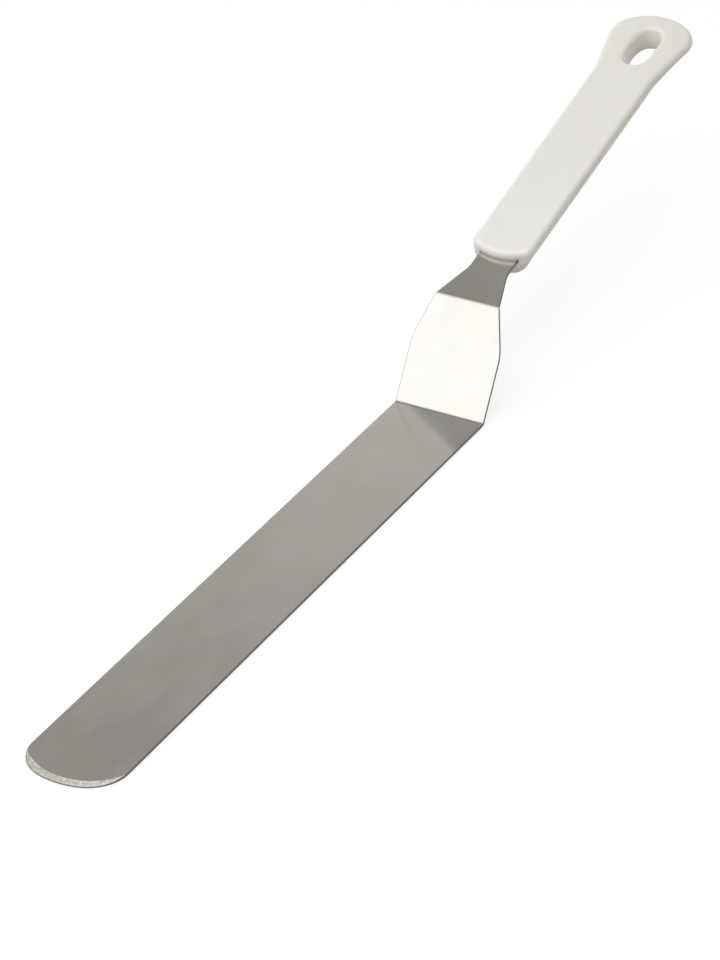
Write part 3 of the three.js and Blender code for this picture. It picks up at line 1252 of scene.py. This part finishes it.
@dataclass
class Handle:
    """The moulded handle: a flat top, deep round under-edges, a hang hole and the tang's slot."""

    shoulder: Vector
    slope: float
    front: float = 23.4 * MM
    length: float = 141.6 * MM
    front_width: float = 22.6 * MM
    waist_width: float = 23.6 * MM
    front_radius: float = 19 * MM
    front_corner: float = 3.4 * MM
    front_under_radius: float = 1.2 * MM
    butt_width: float = 31.7 * MM
    butt_radius: float = 19.2 * MM
    butt_corner: float = 11.2 * MM
    flank: float = math.radians(10.4)
    waist_radius: float = 27 * MM
    top: float = 3.3 * MM
    thickness: float = 9.7 * MM
    butt_thinning: float = 0.8 * MM
    edge_radius: float = 1.8 * MM
    butt_edge_radius: float = 2.7 * MM
    under_radius: float = 7.8 * MM
    under_round: float = 2.0
    butt_under_round: float = 1.25
    butt_start: float = 120 * MM
    butt_full: float = 148 * MM
    wall: float = 0.1 * MM
    hole_length: float = 19.5 * MM
    hole_width: float = 9.7 * MM
    hole_wall: float = 10.4 * MM
    hole_power: float = 2.5
    hole_top_radius: float = 2.1 * MM
    hole_butt_flare: float = 1.1 * MM
    hole_under_radius: float = 1.0 * MM
    hole_parting: float = -1.2 * MM
    hole_draft: float = 0.12 * MM
    slot_half: float = 7.6 * MM
    slot_top: float = 0.02 * MM
    slot_under: float = -1.06 * MM
    slot_depth: float = 72.3 * MM
    margin: float = 0.35 * MM
    arc_step: float = math.radians(3)
    side_step: float = 2.5 * MM
    under_grid: float = 1.2 * MM
    rim_steps: int = 7
    under_steps: int = 8
    under_inset: float = 2.6 * MM
    blend_power: int = 5

    def __post_init__(self) -> None:
        """Lays out the ends, the sides and the outline in the handle's own frame."""
        self.front_end = RoundedEnd(
            self.front, Facing.TIPWARD, self.front_width / 2, self.front_radius, self.front_corner
        )
        butt, half = self.front + self.length, self.butt_width / 2
        self.butt_end = RoundedEnd(butt, Facing.BUTTWARD, half, self.butt_radius, self.butt_corner)
        flank_x = self.butt_end.corner_x - self.butt_corner * math.sin(self.flank)
        flank_half = self.butt_end.corner_y + self.butt_corner * math.cos(self.flank)
        waist_half = self.waist_width / 2
        waist_x = flank_x - (flank_half - waist_half) / math.tan(self.flank)
        self.side = LongEdge((
            EdgeCorner(self.front_end.corner_x, self.front_width / 2),
            EdgeCorner(waist_x, waist_half, self.waist_radius),
            EdgeCorner(flank_x, flank_half),
        ))
        front, rest = self.half_outline()
        self.outline = closed_loop([*front, *rest])
        self.front_chain = chain_of(front)
        lead = self.front - self.under_radius, front[-1].y
        self.side_chain = np.vstack((lead, chain_of([front[-1], *rest])))

    def half_outline(self) -> tuple[list[RimPoint], list[RimPoint]]:
        """Lists the left side in plan, from the middle of the front to the middle of the butt.

        Returns:
            The points of the front, then those of the side and the butt.
        """
        slot_turn = math.asin(self.slot_half / self.front_radius)
        front = self.front_end.rim(self.arc_step, marks=(slot_turn,))
        first_x, last_x, _, _ = self.side.bend(1)
        ends = self.side.corners[0].x, self.side.corners[-1].x
        stops = spaced([ends[0], first_x, last_x, ends[1]], self.side_step)
        rest = [self.side.at(x) for x in stops[1:-1]]
        rest += reversed(self.butt_end.rim(self.arc_step, self.flank))
        return front, rest

    def hole_outline(self) -> list[RimPoint]:
        """Lists the hang hole in plan.

        Returns:
            A loop of points, which lead out of the material into the hole.
        """
        half_length, half_width = self.hole_length / 2, self.hole_width / 2
        centre = self.front + self.length - self.hole_wall - half_length
        power = self.hole_power
        points = []
        for turn in spaced([0.0, 2 * math.pi], self.arc_step)[:-1]:
            along = math.copysign(abs(math.cos(turn)) ** (2 / power), math.cos(turn))
            across = math.copysign(abs(math.sin(turn)) ** (2 / power), math.sin(turn))
            lean_x = math.copysign(abs(along) ** (power - 1), along) / half_length
            lean_y = math.copysign(abs(across) ** (power - 1), across) / half_width
            out = Vector((lean_x, lean_y)).normalized()
            points.append(RimPoint(centre + half_length * along, half_width * across, -out.x, -out.y))
        return points

    def hole_flare(self, point: RimPoint) -> float:
        """Returns how far the hole's upper half opens out, which it does towards the butt."""
        return self.hole_butt_flare * max(0.0, -point.out_x)

    def butt_share(self, x: np.ndarray) -> np.ndarray:
        """Returns 0 along the grip and 1 at the butt."""
        return ease(x, self.butt_start, self.butt_full)

    def edge_at(self, x: np.ndarray) -> np.ndarray:
        """Returns the radius of the upper edge at places along the handle."""
        return self.edge_radius + (self.butt_edge_radius - self.edge_radius) * self.butt_share(x)

    def under_at(self, x: np.ndarray) -> np.ndarray:
        """Returns the height of the flat underside at places along the handle."""
        return self.top - self.thickness + self.butt_thinning * self.butt_share(x)

    def under_heights(self, places: np.ndarray) -> np.ndarray:
        """Finds the underside with its round edges at the sides and the front.

        Args:
            places: Rows of x and y in the handle's frame.

        Returns:
            A height for each place.
        """
        x = places[:, 0]
        folded = np.column_stack((x, np.abs(places[:, 1])))
        flat = self.under_at(x)
        reach = self.top - self.edge_at(x) - self.wall - flat
        power = self.under_round + (self.butt_under_round - self.under_round) * self.butt_share(x)
        away = distance_to_chain(folded, self.side_chain)
        near = np.clip(1 - away / self.under_radius, 0.0, 1.0)
        side = reach * (1 - (1 - near ** power) ** (1 / power))
        away = distance_to_chain(folded, self.front_chain)
        near = np.clip(1 - away / self.front_under_radius, 0.0, 1.0)
        front = self.front_under_radius * (1 - np.sqrt(1 - near ** 2))
        return flat + (side ** self.blend_power + front ** self.blend_power) ** (1 / self.blend_power)

    def shell(self) -> bpy.types.Object:
        """Builds the moulding in its own frame.

        Returns:
            A closed shell with the hole and the slot for the tang.
        """
        mesh = LoopMesh()
        top_rim = self._top_rings(mesh)
        under_rim = self._under_rings(mesh)
        self._walls(mesh, top_rim[0], under_rim[0])
        hole_top, hole_under = self._hole(mesh)
        mesh.patch(top_rim[-1], hole_top, [])
        mesh.patch(under_rim[-1], hole_under, self._under_field(mesh))
        return mesh.finish("handle_moulding")

    def _top_rings(self, mesh: LoopMesh) -> list[list[BMVert]]:
        """Adds the rounded upper edge.

        Args:
            mesh: The shell.

        Returns:
            The edge's rings, from the wall to the flat top.
        """
        radii = self.edge_at(np.array([point.x for point in self.outline]))
        rings = []
        for turn in np.linspace(0.0, math.pi / 2, self.rim_steps):
            insets, drops = radii * (1 - math.cos(turn)), radii * (1 - math.sin(turn))
            rings.append(mesh.ring(self.outline, insets, self.top - drops))
        rings.append(mesh.ring(self.outline, radii + self.margin, np.full(len(radii), self.top)))
        mesh.bands(rings)
        return rings

    def _under_rings(self, mesh: LoopMesh) -> list[list[BMVert]]:
        """Adds the rounded lower edge.

        Args:
            mesh: The shell.

        Returns:
            The edge's rings, from the wall inwards.
        """
        rings = []
        widest = math.acos(1 - self.under_inset / self.under_radius)
        for turn in np.linspace(0.0, widest, self.under_steps):
            inset = self.under_radius * (1 - math.cos(turn))
            places = np.array([point.inset(inset) for point in self.outline])
            heights = self.under_heights(places)
            rings.append(mesh.loop((x, y, height) for (x, y), height in zip(places, heights)))
        mesh.bands(rings)
        return rings

    def _walls(self, mesh: LoopMesh, upper: Sequence[BMVert], lower: Sequence[BMVert]) -> None:
        """Adds the upright wall between the two edges, with the tang's slot in its front.

        Args:
            mesh: The shell.
            upper: Foot of the upper edge.
            lower: Top of the lower edge.
        """
        rows = [list(upper)]
        for level in (self.slot_top, self.slot_under):
            heights = [max(level, vertex.co.z) for vertex in lower]
            rows.append(mesh.loop((point.x, point.y, z) for point, z in zip(self.outline, heights)))
        rows.append(list(lower))
        reach = self.slot_half + MERGE_REACH
        middle = self.front + self.length / 2
        inside = [abs(point.y) < reach and point.x < middle for point in self.outline]
        count = len(self.outline)
        _, faces, _ = mesh.bands(rows)
        gone = [faces[here] for here in range(count) if inside[here] and inside[(here + 1) % count]]
        bmesh.ops.delete(mesh.mesh, geom=gone, context="FACES_ONLY")
        order = [here for here in range(-count // 2, count // 2) if inside[here]]
        mouth = [rows[1][here] for here in order] + [rows[2][here] for here in reversed(order)]
        back = self.front + self.slot_depth
        floor = mesh.loop((back, vertex.co.y, vertex.co.z) for vertex in mouth)
        mesh.band(mouth, floor)
        mesh.mesh.faces.new(floor)

    def _hole(self, mesh: LoopMesh) -> tuple[list[BMVert], list[BMVert]]:
        """Adds the hang hole with its soft rims and two drafts that meet at the parting line.

        Args:
            mesh: The shell.

        Returns:
            The rings that meet the flat top and the underside.
        """
        outline = self.hole_outline()
        level = np.ones(len(outline))
        flares = np.array([self.hole_flare(point) for point in outline])
        turns = np.linspace(math.pi / 2, 0.0, self.rim_steps)
        top, under = self.hole_top_radius, self.hole_under_radius

        def lower_ring(inset: float, rise: float) -> list[BMVert]:
            """Adds the outline, set into the material, above the underside."""
            places = [point.inset(inset) for point in outline]
            return mesh.loop((x, y, self.under_at(x) + rise) for x, y in places)

        rings = [mesh.ring(outline, top + self.margin + flares, self.top * level)]
        for turn in turns:
            height = self.top + top * (math.sin(turn) - 1)
            rings.append(mesh.ring(outline, top * (1 - math.cos(turn)) + flares, height * level))
        rings.append(mesh.ring(outline, -self.hole_draft * level, self.hole_parting * level))
        for turn in reversed(turns):
            rings.append(lower_ring(under * (1 - math.cos(turn)), under * (1 - math.sin(turn))))
        rings.append(lower_ring(under + self.margin, 0.0))
        mesh.bands(rings)
        return rings[0], rings[-1]

    def _under_field(self, mesh: LoopMesh) -> list[BMVert]:
        """Adds single points on the underside, which round off its faces.

        Args:
            mesh: The shell.

        Returns:
            The points, all between the underside's rings and the hole.
        """
        step = self.under_grid
        columns = np.arange(self.front, self.front + self.length, step)
        rows = np.arange(-self.butt_width / 2, self.butt_width / 2, step)
        grid = []
        for number, y in enumerate(rows):
            grid += [(x + step / 2 * (number % 2), y) for x in columns]
        grid = np.array(grid)
        rim = chain_of([*self.outline, self.outline[0]])
        hole = self.hole_outline()
        hole = chain_of([*hole, hole[0]])
        hole_room = self.hole_under_radius + self.margin + step / 2
        is_free = distance_to_chain(grid, rim) > self.under_inset + step / 2
        is_free &= distance_to_chain(grid, hole) > hole_room
        is_free &= [inside_chain(place, rim) and not inside_chain(place, hole) for place in grid]
        places = grid[is_free]
        return mesh.loop((x, y, height) for (x, y), height in zip(places, self.under_heights(places)))

    def build(self) -> bpy.types.Object:
        """Makes the handle, sets it on the tang and hands it to the frame.

        Returns:
            The handle, in place.
        """
        piece = self.shell()
        turn = Matrix.Rotation(-self.slope, 4, "Y")
        piece.data.transform(Matrix.Translation(self.shoulder) @ turn)
        self.dress(piece)
        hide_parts("handle")
        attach(piece, BODY)
        return piece

    def dress(self, piece: bpy.types.Object) -> None:
        """Gives the moulding its finish."""
        piece.data.materials.append(WhiteMoulding().make())


# Studio


def direction(azimuth: float, elevation: float) -> Vector:
    """Returns the unit vector along an azimuth, counted from +X, and an elevation."""
    level = math.cos(elevation)
    return Vector((level * math.cos(azimuth), level * math.sin(azimuth), math.sin(elevation)))


@dataclass(frozen=True)
class SoftBox:
    """A square soft lamp: its direction and distance from the heel, size, colour and brightness."""

    name: str
    azimuth: float
    elevation: float
    distance: float
    size: float
    colour: Colour
    radiance: float

    def hang(self, heel: Vector) -> bpy.types.Object:
        """Hangs the lamp and aims it at the heel; the camera doesn't see it.

        Args:
            heel: The middle of the blade's heel.

        Returns:
            The lamp.
        """
        light = bpy.data.lights.new(self.name, "AREA")
        light.shape = "SQUARE"
        light.size = self.size
        light.color = self.colour
        light.energy = math.pi * self.size * self.size * self.radiance
        lamp = bpy.data.objects.new(self.name, light)
        way = direction(self.azimuth, self.elevation)
        lamp.location = heel + way * self.distance
        lamp.rotation_euler = way.to_track_quat("Z", "Y").to_euler()
        lamp.visible_camera = False
        bpy.context.scene.collection.objects.link(lamp)
        return lamp


# The crank mirrors the key light
LAMPS = (
    SoftBox(
        "key", azimuth=math.radians(150), elevation=math.radians(34), distance=1.5, size=1.5,
        colour=(0.78, 0.86, 1.0), radiance=0.57,
    ),
    SoftBox(
        "near", azimuth=math.radians(200), elevation=math.radians(70), distance=0.6, size=0.3,
        colour=(0.8, 0.88, 1.0), radiance=2.8,
    ),
    SoftBox(
        "high", azimuth=math.radians(85), elevation=math.radians(66), distance=1.5, size=0.8,
        colour=(0.25, 0.6, 1.0), radiance=0.13,
    ),
)


@dataclass
class Studio:
    """Floor, surrounding light, lamps and the camera."""

    heel_x: float
    floor_reach: float = 6.0
    floor_drop: float = 0.2 * MM
    bright_side: float = 1.1
    dim_side: float = 0.5
    bright_azimuth: float = math.radians(120)
    panel_azimuth: float = math.radians(38)
    panel_elevation: float = math.radians(50)
    panel_rims: tuple[float, ...] = (math.radians(26), math.radians(20.2))
    panel_cores: tuple[float, ...] = (math.radians(22.5), math.radians(17.7))
    panel_greys: tuple[float, ...] = (0.615, 0.36)
    azimuth: float = math.radians(-61.838)
    elevation: float = math.radians(30.789)
    distance: float = 1406.7 * MM
    aim_right: float = -27.23 * MM
    aim_up: float = -22.38 * MM
    lens: float = 153.06
    sensor: float = 36.0
    clip_start: float = 0.05
    clip_end: float = 50.0

    @property
    def heel(self) -> Vector:
        """The middle of the blade's heel, on the floor."""
        return Vector((self.heel_x, 0.0, 0.0))

    def build(self) -> None:
        """Sets up everything round the spatula."""
        self._floor()
        self._surroundings()
        for lamp in LAMPS:
            lamp.hang(self.heel)
        self._camera()
        bpy.context.scene.view_settings.view_transform = "Standard"

    def _floor(self) -> None:
        """Lays the floor just under the blade."""
        reach = self.floor_reach
        corners = [(-reach, -reach), (reach, -reach), (reach, reach), (-reach, reach)]
        data = bpy.data.meshes.new("studio_floor")
        data.from_pydata([(x, y, -self.floor_drop) for x, y in corners], [], [(0, 1, 2, 3)])
        floor = bpy.data.objects.new("studio_floor", data)
        bpy.context.scene.collection.objects.link(floor)
        data.materials.append(PaleFloor().make())

    def _surroundings(self) -> None:
        """Puts white walls round the tool, dimmer on one side, with one soft grey panel over it."""
        world = bpy.data.worlds.new("studio")
        world.use_nodes = True
        bpy.context.scene.world = world
        sheet = NodeSheet(world.node_tree)
        way = sheet.add("ShaderNodeTexCoord").outputs["Generated"]
        turned = sheet.along(way, direction(self.bright_azimuth, 0.0))
        level = sheet.spread(turned, -1.0, 1.0, self.dim_side, self.bright_side)
        near = sheet.along(way, direction(self.panel_azimuth, self.panel_elevation))
        for rim, core, grey in zip(self.panel_rims, self.panel_cores, self.panel_greys):
            level = sheet.spread(near, math.cos(rim), math.cos(core), level, grey)
        background = world.node_tree.nodes["Background"]
        background.inputs["Color"].default_value = (1.0, 1.0, 1.0, 1.0)
        sheet.feed(background.inputs["Strength"], level)

    def _camera(self) -> None:
        """Sets the camera at the photograph's angle and distance."""
        turn = Euler((math.pi / 2 - self.elevation, 0.0, self.azimuth), "XYZ")
        axes = turn.to_matrix()
        place = axes @ Vector((self.aim_right, self.aim_up, self.distance))
        data = bpy.data.cameras.new("camera")
        data.sensor_fit = "AUTO"
        data.sensor_width = self.sensor
        data.lens = self.lens
        data.clip_start, data.clip_end = self.clip_start, self.clip_end
        camera = bpy.data.objects.new("camera", data)
        camera.location = place + self.heel
        camera.rotation_euler = turn
        bpy.context.scene.collection.objects.link(camera)
        bpy.context.scene.camera = camera


def main() -> None:
    """Builds the blade and the handle, then the studio round them."""
    blade = Blade()
    handle = Handle(shoulder=blade.shoulder_point, slope=blade.handle_angle)
    for piece in (blade.build(), handle.build()):
        log.info("%s has %d faces", piece.name, len(piece.data.polygons))
    Studio(heel_x=blade.heel_x).build()


if __name__ == "__main__":
    main()
